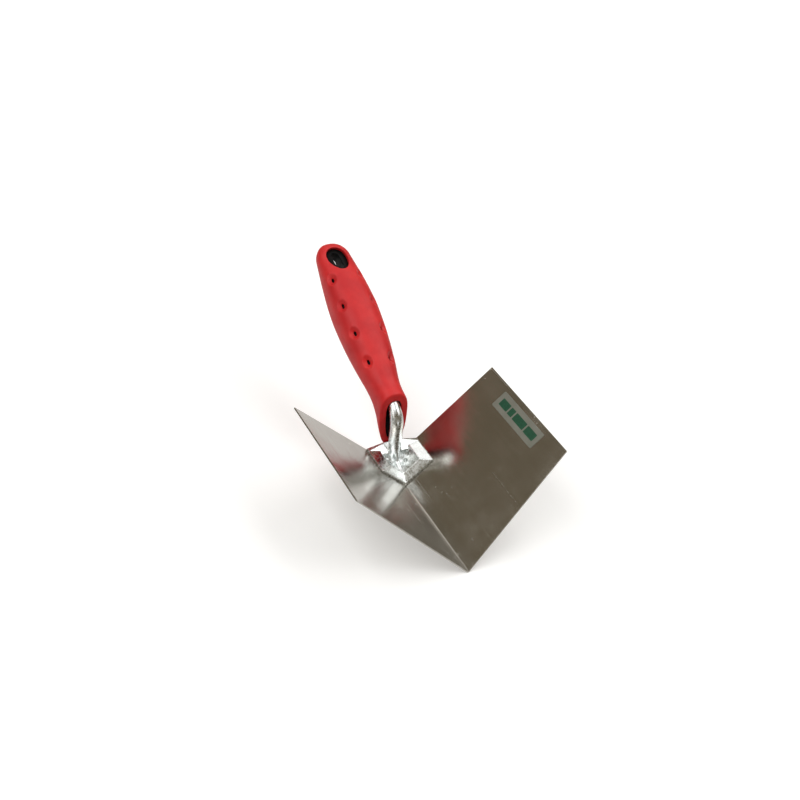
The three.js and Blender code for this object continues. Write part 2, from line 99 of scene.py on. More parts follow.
SIN, COS = math.sin(HALF_ANGLE), math.cos(HALF_ANGLE)
BEND_CENTRE = (INSIDE_RADIUS + SHEET / 2) / SIN  # height of the bend's own centre
BEND_UNDERSIDE = BEND_CENTRE - INSIDE_RADIUS - SHEET
BLADE_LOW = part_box("blade")[0]
ORIGIN = Vector((BLADE_LOW.x, 0, BLADE_LOW.z - BEND_UNDERSIDE * MM))


# ---------------------------------------------------------------- mesh helpers
def wing(x, along, above, side=1):
    """A point by its place along the bend, along a wing, and above the sheet's middle surface."""
    return (x, side * (along * SIN - above * COS), along * COS + above * SIN)


def new_object(name, points, faces):
    """A mesh object from points in millimetres in the trowel's own axes."""
    mesh = bpy.data.meshes.new(name)
    placed = np.asarray(points, float) * MM + np.array(ORIGIN)
    mesh.from_pydata(placed.tolist(), [], faces)
    mesh.update()
    made = bpy.data.objects.new(name, mesh)
    bpy.context.scene.collection.objects.link(made)
    return made


def face_out(obj):
    """Points every face of a closed mesh outwards."""
    bm = bmesh.new()
    bm.from_mesh(obj.data)
    bmesh.ops.remove_doubles(bm, verts=bm.verts, dist=1e-7)
    bmesh.ops.recalc_face_normals(bm, faces=bm.faces)
    bm.to_mesh(obj.data)
    bm.free()
    return obj


def loft(name, rings):
    """A closed body through rings of points, an array of shape (rings, sides, 3), with flat ends."""
    rings = np.asarray(rings, float)
    count, sides = rings.shape[:2]
    faces = []
    for first in range(0, (count - 1) * sides, sides):
        for s in range(sides):
            here, following = first + s, first + (s + 1) % sides
            faces.append((here, following, following + sides, here + sides))
    faces.append(tuple(range(sides)))
    faces.append(tuple((count - 1) * sides + s for s in reversed(range(sides))))
    return face_out(new_object(name, rings.reshape(-1, 3), faces))


def prism(name, outline, low, high, place):
    """A closed body from a 2-D outline, between two heights; place(u, v, height) gives its points."""
    rings = [[place(u, v, height) for u, v in outline] for height in (low, high)]
    return loft(name, rings)


def apply_modifiers(obj):
    """Replaces a mesh by what its modifiers make of it."""
    graph = bpy.context.evaluated_depsgraph_get()
    made = bpy.data.meshes.new_from_object(obj.evaluated_get(graph))
    old = obj.data
    obj.modifiers.clear()
    obj.data = made
    bpy.data.meshes.remove(old)
    return obj


def combine(obj, tools, operation):
    """Joins tools to obj, or cuts them from it, and removes them."""
    for tool in tools:
        modifier = obj.modifiers.new("combine", "BOOLEAN")
        modifier.operation = operation
        modifier.solver = "EXACT"
        modifier.object = tool
        apply_modifiers(obj)
        bpy.data.objects.remove(tool)
    return obj


def soften(obj, voxel, rounds):
    """Rebuilds the surface in small even faces, voxel millimetres across, and rounds its edges."""
    remesh = obj.modifiers.new("remesh", "REMESH")
    remesh.mode = "VOXEL"
    remesh.voxel_size = voxel * MM
    remesh.use_smooth_shade = True
    smooth = obj.modifiers.new("smooth", "SMOOTH")
    smooth.factor = 0.5
    smooth.iterations = rounds
    return apply_modifiers(obj)


def ripple(obj, height, size, seed):
    """Moves the surface in and out by smooth noise: height and size of the waves in millimetres."""
    mesh = obj.data
    count = len(mesh.vertices)
    points = np.zeros(count * 3)
    normals = np.zeros(count * 3)
    mesh.vertices.foreach_get("co", points)
    mesh.vertices.foreach_get("normal", normals)
    points = points.reshape(-1, 3)
    shift = Vector((seed, seed * 0.37, seed * 0.71))
    waves = [noise.fractal(Vector(p) / (size * MM) + shift, 1.0, 2.0, 2) for p in points]
    points += normals.reshape(-1, 3) * (np.array(waves) * height * MM)[:, None]
    mesh.vertices.foreach_set("co", points.ravel())
    mesh.update()
    return obj


def smooth_shading(obj):
    obj.data.polygons.foreach_set("use_smooth", [True] * len(obj.data.polygons))
    return obj


# ---------------------------------------------------------------- material helpers
class Nodes:
    """A material's node tree, with short ways to add what the materials here use."""

    def __init__(self, name):
        self.material = bpy.data.materials.new(name)
        self.material.use_nodes = True
        self.tree = self.material.node_tree
        self.shader = self.tree.nodes["Principled BSDF"]
        self.place = self.tree.nodes.new("ShaderNodeTexCoord").outputs["Object"]

    def link(self, output, target):
        self.tree.links.new(output, target)

    def scaled(self, per_metre):
        mapping = self.tree.nodes.new("ShaderNodeMapping")
        mapping.inputs["Scale"].default_value = per_metre
        self.link(self.place, mapping.inputs["Vector"])
        return mapping.outputs["Vector"]

    def noise(self, per_metre, detail=3.0, roughness=0.5, distortion=0.0):
        """Noise with that many features a metre along x, y and z."""
        if not isinstance(per_metre, tuple):
            per_metre = (per_metre,) * 3
        node = self.tree.nodes.new("ShaderNodeTexNoise")
        node.inputs["Scale"].default_value = 1.0
        node.inputs["Detail"].default_value = detail
        node.inputs["Roughness"].default_value = roughness
        node.inputs["Distortion"].default_value = distortion
        self.link(self.scaled(per_metre), node.inputs["Vector"])
        return node.outputs["Fac"]

    def cells(self, per_metre):
        node = self.tree.nodes.new("ShaderNodeTexVoronoi")
        node.inputs["Scale"].default_value = 1.0
        self.link(self.scaled((per_metre,) * 3), node.inputs["Vector"])
        return node.outputs["Distance"]

    def ranged(self, value, from_low, from_high, to_low, to_high):
        node = self.tree.nodes.new("ShaderNodeMapRange")
        node.interpolation_type = "SMOOTHSTEP"
        limits = (from_low, from_high, to_low, to_high)
        for name, number in zip(("From Min", "From Max", "To Min", "To Max"), limits):
            node.inputs[name].default_value = number
        self.link(value, node.inputs["Value"])
        return node.outputs["Result"]

    def maths(self, operation, a, b):
        node = self.tree.nodes.new("ShaderNodeMath")
        node.operation = operation
        for socket, value in zip(node.inputs, (a, b)):
            if isinstance(value, (int, float)):
                socket.default_value = value
            else:
                self.link(value, socket)
        return node.outputs["Value"]

    def blend(self, share, first, second):
        """A colour between two, each a colour or another node's output."""
        node = self.tree.nodes.new("ShaderNodeMix")
        node.data_type = "RGBA"
        self.link(share, node.inputs["Factor"])
        for socket, value in zip((node.inputs[6], node.inputs[7]), (first, second)):
            if isinstance(value, tuple):
                socket.default_value = (*value, 1)
            else:
                self.link(value, socket)
        return node.outputs[2]

    def bump(self, height, distance, strength=1.0, under=None):
        """Bump whose height of 1 stands for distance millimetres."""
        node = self.tree.nodes.new("ShaderNodeBump")
        node.inputs["Strength"].default_value = strength
        node.inputs["Distance"].default_value = distance * MM
        self.link(height, node.inputs["Height"])
        if under is not None:
            self.link(under, node.inputs["Normal"])
        return node.outputs["Normal"]

    def set(self, **values):
        for name, value in values.items():
            socket = self.shader.inputs[name.replace("_", " ").title().replace("Ior", "IOR")]
            if isinstance(value, (int, float)):
                socket.default_value = value
            elif isinstance(value, tuple):
                socket.default_value = (*value, 1)
            else:
                self.link(value, socket)


# ---------------------------------------------------------------- materials
def blade_steel():
    """Cold-rolled sheet: fine marks along the bend, faint haze, a few hairline scratches."""
    m = Nodes("blade_steel")
    rolling = m.noise((25, 2600, 2600), detail=2)
    haze = m.noise(38, detail=4, roughness=0.6)
    spots = m.noise(210, detail=3)
    scratch_band = m.noise((14, 900, 320), detail=1, distortion=1.2)
    scratches = m.ranged(scratch_band, 0.76, 0.79, 0, 1)
    colour = m.blend(haze, (0.475, 0.455, 0.41), (0.58, 0.56, 0.52))
    rough = m.ranged(rolling, 0.3, 0.7, 0.13, 0.2)
    rough = m.maths("ADD", rough, m.ranged(haze, 0.35, 0.7, 0.0, 0.07))
    rough = m.maths("ADD", rough, m.ranged(spots, 0.6, 0.75, 0.0, 0.05))
    rough = m.maths("ADD", rough, m.maths("MULTIPLY", scratches, 0.1))
    waves = m.bump(m.noise((22, 34, 34), detail=1), 0.25)
    marks = m.bump(rolling, 0.0035, under=waves)
    scratched = m.bump(scratches, 0.004, under=marks)
    m.set(base_color=colour, metallic=1.0, roughness=rough, normal=scratched)
    return m.material


def cast_metal():
    """Bright die casting: softly mottled, slightly pitted."""
    m = Nodes("cast_metal")
    mottle = m.noise(380, detail=4, roughness=0.6)
    grain = m.noise(2300, detail=3)
    pits = m.ranged(m.cells(900), 0.1, 0.32, 0, 1)
    colour = m.blend(m.ranged(mottle, 0.3, 0.7, 0, 1), (0.67, 0.70, 0.69), (0.82, 0.84, 0.84))
    rough = m.maths("ADD", m.ranged(mottle, 0.3, 0.7, 0.18, 0.3), m.ranged(grain, 0.4, 0.7, 0, 0.08))
    base = m.bump(mottle, 0.018)
    fine = m.bump(grain, 0.004, under=base)
    pitted = m.bump(pits, 0.005, 0.6, under=fine)
    m.set(base_color=colour, metallic=1.0, roughness=rough, normal=pitted)
    return m.material


def rivet_steel():
    """Rivet heads ground flush with the blade."""
    m = Nodes("rivet_steel")
    grinding = m.noise((2600, 120, 2600), detail=2)
    stain = m.noise(600, detail=3)
    colour = m.blend(stain, (0.5, 0.48, 0.45), (0.68, 0.66, 0.63))
    rough = m.maths("ADD", m.ranged(grinding, 0.3, 0.7, 0.2, 0.36), m.ranged(stain, 0.4, 0.7, 0, 0.1))
    m.set(base_color=colour, metallic=1.0, roughness=rough, normal=m.bump(grinding, 0.008))
    return m.material


def soft_grip():
    """Moulded soft red rubber with a fine spark grain and faint handling marks."""
    m = Nodes("grip_rubber")
    grain = m.cells(2600)
    fine = m.noise(5200, detail=2)
    blotch = m.noise(70, detail=4, roughness=0.6)
    handled = m.noise(160, detail=3)
    colour = m.blend(m.ranged(blotch, 0.3, 0.7, 0, 1), (0.55, 0.012, 0.015), (0.67, 0.02, 0.021))
    rough = m.maths("ADD", m.ranged(handled, 0.35, 0.7, 0.4, 0.5), m.ranged(grain, 0.1, 0.6, 0, 0.06))
    shape = m.bump(handled, 0.05)
    grained = m.bump(grain, 0.018, 0.8, under=shape)
    m.set(base_color=colour, roughness=rough, normal=m.bump(fine, 0.006, under=grained))
    m.set(specular_ior_level=0.38)
    return m.material


def core_plastic():
    """Hard black plastic with a satin moulded face."""
    m = Nodes("core_plastic")
    grain = m.noise(3000, detail=2)
    wear = m.noise(240, detail=3)
    colour = m.blend(wear, (0.003, 0.0035, 0.0035), (0.009, 0.0095, 0.0095))
    rough = m.maths("ADD", m.ranged(wear, 0.35, 0.7, 0.45, 0.6), m.ranged(grain, 0.4, 0.6, 0, 0.05))
    m.set(base_color=colour, roughness=rough, normal=m.bump(grain, 0.012), specular_ior_level=0.08)
    return m.material


def label_film():
    """Pale grey film with the steel's tone showing faintly through."""
    m = Nodes("label_film")
    cloud = m.noise(150, detail=3)
    fibre = m.noise((300, 2400, 2400), detail=2)
    colour = m.blend(cloud, (0.20, 0.205, 0.17), (0.255, 0.26, 0.225))
    rough = m.maths("ADD", m.ranged(cloud, 0.35, 0.7, 0.3, 0.4), m.ranged(fibre, 0.4, 0.6, 0, 0.06))
    m.set(base_color=colour, metallic=0.25, roughness=rough, normal=m.bump(fibre, 0.006))
    return m.material


def label_ink():
    """Printed green, a little uneven."""
    m = Nodes("label_ink")
    cover = m.noise(900, detail=3)
    colour = m.blend(m.ranged(cover, 0.35, 0.65, 0, 1), (0.008, 0.062, 0.032), (0.012, 0.088, 0.045))
    rough = m.ranged(cover, 0.35, 0.65, 0.32, 0.42)
    m.set(base_color=colour, roughness=rough, normal=m.bump(cover, 0.004))
    return m.material


def finish_piece(obj, node, material):
    """Gives a piece its material and smooth shading, sets it on the root body and hides the CAD part it
    stands for.
    """
    obj.data.materials.append(material)
    smooth_shading(obj)
    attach(obj, "root")
    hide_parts(node)
    return obj


# ---------------------------------------------------------------- handle form
# Place along the axis, half-width, height above the axis and depth below it.
STATIONS = np.array([
    (-10.9, 8.7, 11.2, 21.4),
    (-7, 8.7, 10.6, 18.2),
    (-3, 8.5, 10.1, 13.6),
    (3, 8.7, 9.7, 10.4),
    (10, 9.6, 9.8, 9.9),
    (18, 10.9, 10.5, 10.6),
    (34, 12.8, 12.0, 11.9),
    (52, 13.8, 12.7, 12.6),
    (66, 13.4, 12.2, 12.1),
    (80, 12.2, 10.3, 10.3),
    (93, 10.8, 7.4, 7.6),
    (TAIL_END, 9.4, 5.4, 5.6),
])
MOUTH, FAN_END = STATIONS[0][0], 16.0


def through_stations(steps=40):
    """The stations' smooth curve (Catmull-Rom) as dense rows."""
    last = len(STATIONS) - 1
    rows = []
    for i in range(last):
        p0, p1, p2, p3 = (STATIONS[min(max(i + k, 0), last)] for k in (-1, 0, 1, 2))
        v0, v1 = (p2 - p0) / 2, (p3 - p1) / 2
        for t in np.linspace(0, 1, steps, endpoint=False):
            cubic = (2 * p1 - 2 * p2 + v0 + v1) * t**3 + (-3 * p1 + 3 * p2 - 2 * v0 - v1) * t**2
            rows.append(cubic + v0 * t + p1)
    rows.append(STATIONS[last])
    return np.array(rows)


CURVE = through_stations()


def size_at(along, column):
    return np.interp(along, CURVE[:, 0], CURVE[:, column])


def handle_point(along, side, above):
    """A point of the handle from its place along the axis, to the side, and above the axis."""
    x = FOOT_X - along * math.cos(TILT) + above * math.sin(TILT)
    z = FOOT_Z + along * math.sin(TILT) + above * math.cos(TILT)
    return np.stack([x, side + 0 * x, z], axis=-1)


def bulge(value, squareness=SQUARENESS):
    """A superellipse's coordinate from the circle's."""
    return np.sign(value) * np.abs(value) ** (2 / squareness)


def section(along, angles, inset, shrink=1.0):
    """Points of the handle's section at a place along its axis."""
    width = size_at(along, 1) - inset
    height = np.where(np.sin(angles) > 0, size_at(along, 2), size_at(along, 3)) - inset
    side = shrink * width * bulge(np.cos(angles))
    above = shrink * height * bulge(np.sin(angles))
    fan = np.clip((FAN_END - along) / (FAN_END - MOUTH), 0, 1)
    lean = above * math.tan(TILT) * fan * fan * (3 - 2 * fan)
    return handle_point(along + lean, side, above)


def handle_form(name, inset, start, end, front_round, tail_round, sides, pitch, reshape=None):
    """The handle's closed form between two places, with rounded ends. reshape may move its points."""
    width = size_at(start, 1) - inset
    places = []
    for turn in np.linspace(0, math.pi / 2, 7):
        shrink = 1 - front_round / width * (1 - math.sin(turn))
        places.append((start + front_round * (1 - math.cos(turn)), shrink))
    straight = np.arange(start + front_round, end - tail_round, pitch)
    places += [(along, 1.0) for along in straight[1:]]
    for turn in np.linspace(0, math.pi / 2, 24)[:-1]:
        places.append((end - tail_round * (1 - math.sin(turn)), math.cos(turn) ** 0.8))
    angles = np.linspace(0, 2 * math.pi, sides, endpoint=False)
    rings = np.array([section(along, angles, inset, shrink) for along, shrink in places])
    if reshape is not None:
        rings = reshape(rings)
    return loft(name, rings)


def core_form(name, inset, sides, pitch):
    start = MOUTH + CORE_RECESS + inset - SKIN
    return handle_form(name, inset, start, TAIL_END - inset, 0.8, 9 - inset / 2, sides, pitch)


def mouth_slot(share=1.0):
    """The slot that the stem comes out of. It follows the axis inwards and narrows.

    share makes it smaller than the grip's by that factor.
    """
    _, width, top, bottom = STATIONS[0]
    angles = np.linspace(0, 2 * math.pi, 72, endpoint=False)
    upper = np.sin(angles) > 0
    height = np.where(upper, top - SLOT_TOP_WALL, bottom - SLOT_BOTTOM_WALL)
    loss = np.where(upper, 0.2, 0.75)
    rings = []
    for inwards in np.linspace(0, 1, 9):
        side = share * (width - SLOT_WALL) * (1 - 0.2 * inwards) * bulge(np.cos(angles))
        above = share * height * (1 - loss * inwards) * bulge(np.sin(angles))
        lean = above * math.tan(TILT) * (1 - inwards)
        rings.append(handle_point(MOUTH + lean + SLOT_START + SLOT_DEPTH * inwards, side, above))
    return loft("slot", rings)


def hanging_hole(half_length, half_width, squareness, egg):
    """A tool for the hanging hole, an oval that egg widens towards the tail."""
    angles = np.linspace(0, 2 * math.pi, 72, endpoint=False)
    along = HOLE_CENTRE + half_length * bulge(np.cos(angles), squareness)
    side = half_width * (1 + egg * np.cos(angles)) * bulge(np.sin(angles), squareness)
    return loft("hole", [handle_point(along, side, above + 0 * along) for above in (-20, 20)])


def dimple_frames():
    """Centre, direction towards the neck, direction round the handle, and outwards, for each dimple."""
    frames = []
    for i, across in enumerate(DIMPLE_ACROSS):
        along = DIMPLE_FIRST + DIMPLE_PITCH * i
        angle = math.pi / 2 - math.radians(across)

        def at(place, turn):
            return section(place, np.array([turn]), 0)[0]

        ahead = at(along - 1, angle) - at(along + 1, angle)
        around = at(along, angle - 0.05) - at(along, angle + 0.05)
        ahead /= np.linalg.norm(ahead)
        around /= np.linalg.norm(around)
        out = np.cross(ahead, around)
        out *= np.sign(out[2])
        for mirror in (1, -1):
            flip = np.array((1, mirror, 1))
            frames.append([v * flip for v in (at(along, angle), ahead, around, out)])
    return frames


def press_dimples(rings):
    """Dishes with a soft raised lip, pressed into the grip's surface."""
    points = rings.reshape(-1, 3)
    moved = points.copy()
    for centre, ahead, around, out in dimple_frames():
        offset = points - centre
        spread = np.hypot(offset @ ahead / DIMPLE_LENGTH, offset @ around / DIMPLE_WIDTH)
        near = np.abs(offset @ out) < 6
        dish = DIMPLE_DEPTH * np.clip(1 - spread**2, 0, 1) ** 1.3
        lip = 0.1 * np.exp(-(((spread - 1.15) / 0.15) ** 2))
        moved += np.where(near, lip - dish, 0)[:, None] * out
    return moved.reshape(rings.shape)


def slits():
    """Narrow tools that open each dimple to the hard core."""
    tools = []
    angles = np.linspace(0, 2 * math.pi, 24, endpoint=False)
    for centre, ahead, around, out in dimple_frames():
        ring = np.outer(SLIT_LENGTH * np.cos(angles), ahead)
        ring += np.outer(SLIT_WIDTH * np.sin(angles), around)
        tools.append(loft("slit", [centre + ring + out * height for height in (-2.9, 1.0)]))
    return tools


# ---------------------------------------------------------------- stem and tang
def stem_path():
    """Centre points from the saddle up, round the bend and along the tang."""
    start = handle_point(np.array(0.0), 0.0, np.array(TANG_OFFSET))
    along = handle_point(np.array(1.0), 0.0, np.array(TANG_OFFSET)) - start
    corner = start + along * (STEM_X - start[0]) / along[0]
    tangent = 8
    low, high = corner - (0, 0, tangent), corner + along * tangent
    end = handle_point(np.array(TANG_END), 0.0, np.array(TANG_OFFSET))
    foot = np.array((STEM_X, 0, 2.5))
    upright = [foot + (low - foot) * t for t in np.linspace(0, 1, 40, endpoint=False)]
    turn = [low * (1 - t) ** 2 + corner * 2 * t * (1 - t) + high * t * t for t in np.linspace(0, 1, 30)]
    tang = [high + (end - high) * t for t in np.linspace(0, 1, 30)[1:]]
    return np.array(upright + turn + tang)


def stem(grow=0.0, sides=48):
    """The round stem and tang as one closed body."""
    path = stem_path()
    forward = np.gradient(path, axis=0)
    forward /= np.linalg.norm(forward, axis=1)[:, None]
    angles = np.linspace(0, 2 * math.pi, sides, endpoint=False)
    rings = []
    for point, direction in zip(path, forward):
        t = np.clip((point[2] - STEM_THINS_FROM) / (STEM_THINS_TO - STEM_THINS_FROM), 0, 1)
        radius = STEM_LOW_RADIUS + (TANG_RADIUS - STEM_LOW_RADIUS) * t * t * (3 - 2 * t) + grow
        across = np.cross((0, 1, 0), direction)
        ring = np.outer(np.cos(angles), (0, 1, 0)) + np.outer(np.sin(angles), across)
        rings.append(point + radius * ring)
    return loft("stem", rings)


# ---------------------------------------------------------------- vee sections
def vee(low, high, reach, edge=None, bevel_at=None, steps=16):
    """The outline in (y, z) of a layer on the blade, between two heights above the sheet's middle."""
    edge = high if edge is None else edge
    bevel_at = reach if bevel_at is None else bevel_at

    def at(along, above):
        return wing(0, along, above)[1:]

    def arc(radius):
        turns = np.linspace(HALF_ANGLE, math.pi - HALF_ANGLE, steps)
        return [(radius * math.cos(t), BEND_CENTRE - radius * math.sin(t)) for t in turns]

    right = [at(reach, edge), at(reach, low)]
    under = arc(INSIDE_RADIUS + SHEET / 2 - low)
    high_radius = INSIDE_RADIUS + SHEET / 2 - high
    over = arc(high_radius)[::-1] if high_radius > 0 else [(0, high / SIN)]
    bevel = [at(bevel_at, high)] if bevel_at < reach else []
    left = [(-y, z) for y, z in right[::-1]]
    return right + under + left + [(-y, z) for y, z in bevel] + over + bevel


def along_x(u, v, x):
    return (x, u, v)


# ---------------------------------------------------------------- pieces
def make_blade():
    """The folded sheet with fine rounded edges and countersunk rivet holes."""
    half = SHEET / 2
    body = prism("blade_sheet", vee(-half, half, WING_WIDTH, steps=24), 0, BEND_LENGTH, along_x)
    span = WING_WIDTH * SIN * 1.1
    corner = BEND_LENGTH - (BEND_LENGTH - OUTER_EDGE) * 1.1
    plan = [(-1, -span), (corner, -span), (BEND_LENGTH, 0), (corner, span), (-1, span)]
    keep = prism("plan", plan, -20, 90, lambda u, v, z: (u, v, z))
    combine(body, [keep], "INTERSECT")
    combine(body, rivet_holes(), "DIFFERENCE")
    edges = body.modifiers.new("edges", "BEVEL")
    edges.width = 0.12 * MM
    edges.segments = 2
    edges.limit_method = "ANGLE"
    edges.angle_limit = math.radians(35)
    smooth_shading(body)
    flat = body.modifiers.new("flat_faces", "WEIGHTED_NORMAL")
    flat.weight = 100
    apply_modifiers(body)
    return finish_piece(body, "blade", blade_steel())


def rivet_form(name, x, side, grow=0.0):
    """A countersunk rivet, its head at the working face. grow makes it the hole for one."""
    foot = -SHEET / 2 + 0.05 - 2 * grow
    neck = foot + RIVET_HEAD_DEPTH + 2 * grow
    top = SHEET / 2 + CLEARANCE + 1 + grow
    crown = 0.0 if grow else 0.04
    profile = [
        (0.02, foot),
        (RIVET_HEAD * 0.6, foot + crown / 4),
        (RIVET_HEAD + grow - 0.06, foot + crown),
        (RIVET_HEAD + grow, foot + 2 * grow + 0.07),
        (RIVET_SHAFT + grow, neck),
        (RIVET_SHAFT + grow, top - 0.1),
        (RIVET_SHAFT + grow - 0.1, top),
        (0.02, top),
    ]
    angles = np.linspace(0, 2 * math.pi, 48, endpoint=False)
    rings = []
    for radius, height in profile:
        round_x, round_d = x + radius * np.cos(angles), RIVET_REACH + radius * np.sin(angles)
        rings.append([wing(u, d, height, side) for u, d in zip(round_x, round_d)])
    return loft(name, rings)


def rivet_holes():
    stations = RIVET_STATIONS.values()
    return [rivet_form("hole", x, side, CLEARANCE) for x in stations for side in (1, -1)]


def make_rivets():
    steel = rivet_steel()
    for station, x in RIVET_STATIONS.items():
        for side, word in ((1, "right"), (-1, "left")):
            node = f"rivet_{word}_{station}"
            finish_piece(rivet_form(node + "_head", x, side), node, steel)


def ribbed_foot():
    """The stem's foot: a short bell with a rib along the bend each way and one towards each wing."""
    angles = np.linspace(0, 2 * math.pi, 144, endpoint=False)
    ribs = np.zeros_like(angles)
    for direction in RIB_DIRECTIONS:
        turn = (angles - math.radians(direction) + math.pi) % (2 * math.pi) - math.pi
        ribs += np.exp(-((turn / 0.3) ** 2))
    rings = []
    for t in np.linspace(0, 1, 32):
        flare = (1 - t) ** 1.7
        radius = STEM_LOW_RADIUS - 0.3 + (1 - t) ** 4 * BELL_SPREAD + flare * RIB_REACH * ribs
        x = FOOT_CENTRE + radius * np.cos(angles)
        rings.append(np.stack([x, radius * np.sin(angles), 0 * angles + FOOT_TOP * t], -1))
    return loft("foot", rings)


def foot_hollows():
    """Round hollows in front of the wall and beside the web, where the casting is cored out."""
    turns = np.linspace(0, 2 * math.pi, 24, endpoint=False)
    hollows = []
    for direction, reach, height in HOLLOWS:
        for side in (1, -1):
            turn = math.radians(direction)
            centre = (FOOT_CENTRE + reach * math.cos(turn), side * reach * math.sin(turn), height)
            rings = []
            for fall in np.linspace(0.05, math.pi - 0.05, 14):
                width = HOLLOW_RADIUS * math.sin(fall)
                rise = 0 * turns + HOLLOW_HALF_DEPTH * math.cos(fall)
                ring = np.stack([width * np.cos(turns), width * np.sin(turns), rise], -1)
                rings.append(np.array(centre) + ring)
            hollows.append(loft("hollow", rings))
    return hollows


def front_web():
    """The low rounded web that runs from the stem down to the front rim."""
    front_top, back_top, half_width = 7.0, 12.0, 1.6
    rings = []
    for t in np.linspace(0, 1, 16):
        x = POCKET_FRONT * (1 - t) ** 2 + (STEM_X + 6) * 2 * t * (1 - t) + (STEM_X + 2) * t * t
        top = front_top * (1 - t) ** 2 + (front_top + 0.6) * 2 * t * (1 - t) + back_top * t * t
        arch = [
            (x, half_width * math.cos(a), top - half_width + half_width * math.sin(a))
            for a in np.linspace(0, math.pi, 13)
        ]
        rings.append([(x, half_width, 1.0)] + arch + [(x, -half_width, 1.0)])
    return loft("web", rings)


def saddle_plate(low, edge, high):
    """The vee on the blade, bevelled down to a thin edge at its outer and front borders."""
    full = vee(low, high, SADDLE_REACH, edge, BEVEL_OUTER)
    thin = vee(low, INSIDE_RADIUS + SHEET / 2 + 0.05, SADDLE_REACH, edge, SADDLE_REACH - 0.1)
    stations = ((SADDLE_BACK, full), (BEVEL_FRONT, full), (SADDLE_FRONT, thin))
    return loft("shank_casting", [[(x, y, z) for y, z in outline] for x, outline in stations])


def back_wall(edge):
    """The wall across the back. Its top slopes down to an upright face."""
    outer = wing(0, SADDLE_REACH, edge)[1:]
    crown = (STEM_LOW_RADIUS, WALL_TOP)
    outline = [(-outer[0], outer[1]), (0, 0), outer, crown, (-crown[0], crown[1])]
    side = [
        (SADDLE_BACK, -1),
        (WALL_FRONT, -1),
        (WALL_FRONT, WALL_LEDGE),
        (WALL_CREST, WALL_TOP),
        (SADDLE_BACK, WALL_TOP),
    ]
    wall = prism("wall", outline, SADDLE_BACK, WALL_FRONT, along_x)
    profile = prism("profile", side, -SADDLE_REACH, SADDLE_REACH, lambda x, z, y: (x, y, z))
    return combine(wall, [profile], "INTERSECT")


def make_shank():
    """Saddle, foot, stem and tang as one casting with softened edges and an uneven skin."""
    low = SHEET / 2 + REST_GAP
    edge = SHEET / 2 + CLEARANCE + SADDLE_EDGE_THICK
    high = SHEET / 2 + CLEARANCE + SADDLE_THICK
    body = saddle_plate(low, edge, high)
    floor = high - POCKET_DEPTH
    corners = [
        (POCKET_BACK, POCKET_INNER),
        (POCKET_FRONT, POCKET_INNER),
        (POCKET_FRONT, POCKET_OUTER),
        (POCKET_BACK, POCKET_OUTER),
    ]
    pockets = [
        prism("pocket", corners, floor, floor + 4, lambda x, d, h, side=side: wing(x, d, h, side))
        for side in (1, -1)
    ]
    combine(body, pockets, "DIFFERENCE")
    combine(body, [back_wall(edge), ribbed_foot(), front_web()], "UNION")
    combine(body, foot_hollows(), "DIFFERENCE")
    ends = [(-30, -30), (30, -30), (30, 30), (-30, 30)]
    combine(body, [prism("room", ends, SADDLE_BACK, SADDLE_FRONT, along_x)], "INTERSECT")
    combine(body, [stem()], "UNION")
    below = prism("below", vee(-12, low, 40), -20, 60, along_x)
    combine(body, [below] + rivet_holes(), "DIFFERENCE")
    soften(body, 0.22, 4)
    ripple(body, 0.05, 5.0, seed=3.1)
    ripple(body, 0.008, 1.6, seed=8.4)
    return finish_piece(body, "shank", cast_metal())


def make_core():
    """The hard core: it takes the tang, lines the hanging hole and shows in the dimples."""
    body = core_form("handle_core_moulding", SKIN + CLEARANCE, 72, 1.5)
    tools = [mouth_slot(CORE_SLOT_SHARE), stem(CLEARANCE, 32), hanging_hole(*CORE_HOLE)]
    combine(body, tools, "DIFFERENCE")
    soften(body, 0.4, 2)
    return finish_piece(body, "handle_core", core_plastic())


def make_grip():
    """The soft sleeve, with its dimples, hanging hole and open mouth."""
    body = handle_form("grip_sleeve", 0, MOUTH, TAIL_END, LIP_ROUND, 10, 160, 0.6, press_dimples)
    tools = [core_form("inside", SKIN, 60, 2.0), mouth_slot(), hanging_hole(*GRIP_HOLE)] + slits()
    combine(body, tools, "DIFFERENCE")
    soften(body, 0.36, 5)
    return finish_piece(body, "grip", soft_grip())


def rounded_rectangle(low_u, low_v, high_u, high_v, radius, steps=8):
    points = []
    corners = ((high_u, high_v, 0), (low_u, high_v, 1), (low_u, low_v, 2), (high_u, low_v, 3))
    for u, v, quarter in corners:
        cu = u - radius if u == high_u else u + radius
        cv = v - radius if v == high_v else v + radius
        for t in np.linspace(quarter, quarter + 1, steps) * math.pi / 2:
            points.append((cu + radius * math.cos(t), cv + radius * math.sin(t)))
    return points


def make_label():
    """A thin film with round corners and plain green bars."""
    low = SHEET / 2 + REST_GAP
    top = low + LABEL_THICK / 2
    outline = rounded_rectangle(LABEL_BACK, LABEL_INNER, LABEL_FRONT, LABEL_OUTER, 0.9)
    film = prism("label_film_sheet", outline, low, top, wing)
    film.data.materials.append(label_film())
    bm = bmesh.new()
    bm.from_mesh(film.data)
    ink = label_ink()
    for back, front in BARS:
        bar = rounded_rectangle(back, BAR_INNER, front, BAR_OUTER, 0.5, 5)
        piece = prism("bar", bar, top - 0.01, top + PRINT_DEPTH, wing)
        first = len(bm.faces)
        bm.from_mesh(piece.data)
        bm.faces.ensure_lookup_table()
        for face in bm.faces[first:]:
            face.material_index = 1
        bpy.data.objects.remove(piece)
    bm.to_mesh(film.data)
    bm.free()
    film.data.materials.append(ink)
    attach(film, "root")
    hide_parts("label")


# ---------------------------------------------------------------- stage, light and camera
# Painted light: the floor's own glow, weak near the trowel and strong far away.
FLOOR_GLOW, FAR_GLOW, GLOW_FROM, GLOW_TO = 0.28, 1.2, 0.4, 1.6  # radiance, then metres
FLOOR_BOUNCE, GLOSSY_BOUNCE_SHARE = 0.5, 0.5
FLOOR_HALF = 20.0


